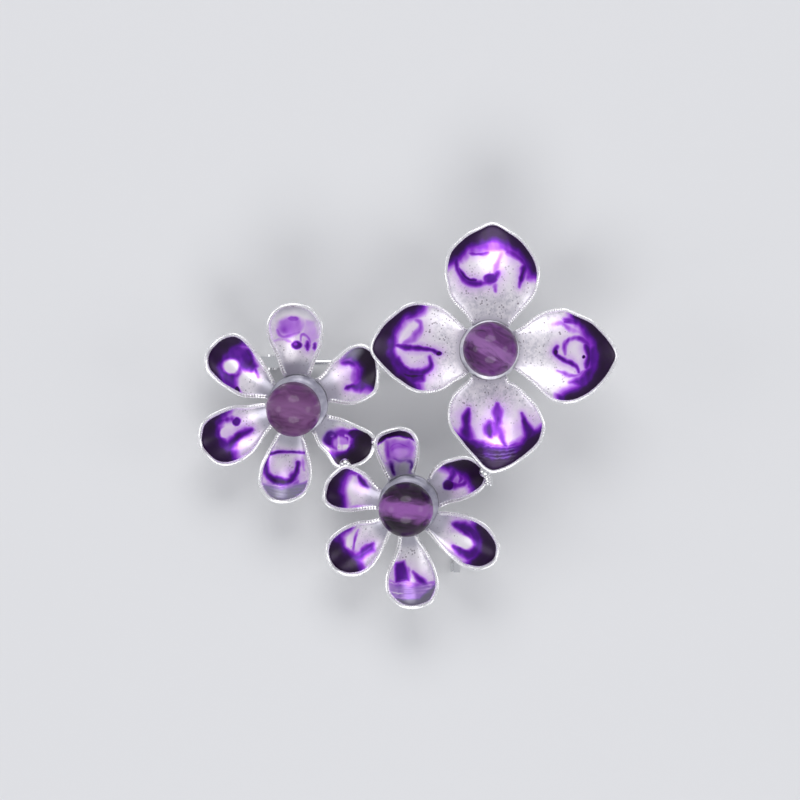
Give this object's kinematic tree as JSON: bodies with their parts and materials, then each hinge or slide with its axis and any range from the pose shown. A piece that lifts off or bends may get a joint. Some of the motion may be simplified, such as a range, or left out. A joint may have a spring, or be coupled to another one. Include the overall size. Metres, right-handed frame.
{
  "type": "flower brooch pin",
  "caption": "Brooch of dished enamel flowers, each with a round bead, on a hinged pin stem with a turning safety catch.",
  "frame": {"origin": "centre of the footprint of the whole brooch, on the plane it lies on when it rests on its back", "axes": "+Z out of the front of the brooch, +X along the pin stem from its hinge towards its point, +Y from the lower flower towards the large flower's far petal"},
  "size_m": [0.0458, 0.0424, 0.0125],
  "materials": {
    "silver": "polished silver plate",
    "findings": "polished",
    "stem_wire": "polished wire",
    "enamel_large": "glossy translucent enamel, clear with purple swirls, over bright metal",
    "enamel_left": "glossy translucent enamel, clear with purple swirls, over bright metal",
    "enamel_lower": "glossy translucent enamel, clear with purple swirls, over bright metal",
    "bead": "polished purple stone, banded, translucent",
    "clear_resin": "clear, smooth"
  },
  "bodies": {
    "brooch": {"catch_body": "findings", "foot_strip": "silver", "hinge_bracket": "findings", "hinge_rivet": "findings", "large_bead": "bead", "large_bead_post": "silver", "large_bedding": "clear_resin", "large_enamel_east": "enamel_large", "large_enamel_north": "enamel_large", "large_enamel_south": "enamel_large", "large_enamel_west": "enamel_large", "large_hub": "silver", "large_petal_east": "silver", "large_petal_north": "silver", "large_petal_south": "silver", "large_petal_west": "silver", "left_bead": "bead", "left_bead_post": "silver", "left_bedding": "clear_resin", "left_enamel_n": "enamel_left", "left_enamel_ne": "enamel_left", "left_enamel_nw": "enamel_left", "left_enamel_s": "enamel_left", "left_enamel_se": "enamel_left", "left_enamel_sw": "enamel_left", "left_hub": "silver", "left_petal_n": "silver", "left_petal_ne": "silver", "left_petal_nw": "silver", "left_petal_s": "silver", "left_petal_se": "silver", "left_petal_sw": "silver", "link_wire": "silver", "lower_bead": "bead", "lower_bead_post": "silver", "lower_bedding": "clear_resin", "lower_enamel_n": "enamel_lower", "lower_enamel_ne": "enamel_lower", "lower_enamel_nw": "enamel_lower", "lower_enamel_s": "enamel_lower", "lower_enamel_se": "enamel_lower", "lower_enamel_sw": "enamel_lower", "lower_hub": "silver", "lower_petal_n": "silver", "lower_petal_ne": "silver", "lower_petal_nw": "silver", "lower_petal_s": "silver", "lower_petal_se": "silver", "lower_petal_sw": "silver", "solder_joint_1": "silver", "solder_joint_2": "silver", "solder_joint_3": "silver", "solder_joint_4": "silver"},
    "stem": {"pin_stem": "stem_wire"},
    "rotor": {"catch_rotor": "findings"}
  },
  "joints": [
    {"name": "stem_hinge", "type": "hinge", "parent": "brooch", "child": "stem", "pos_m": [-0.01487, 0.00587, 0.0015], "axis": [0, 1, 0], "range_deg": [0, 100]},
    {"name": "catch_turn", "type": "hinge", "parent": "brooch", "child": "rotor", "pos_m": [0.00993, 0.00587, 0.0015], "axis": [1, 0, 0], "range_deg": [0, 150]}
  ]
}
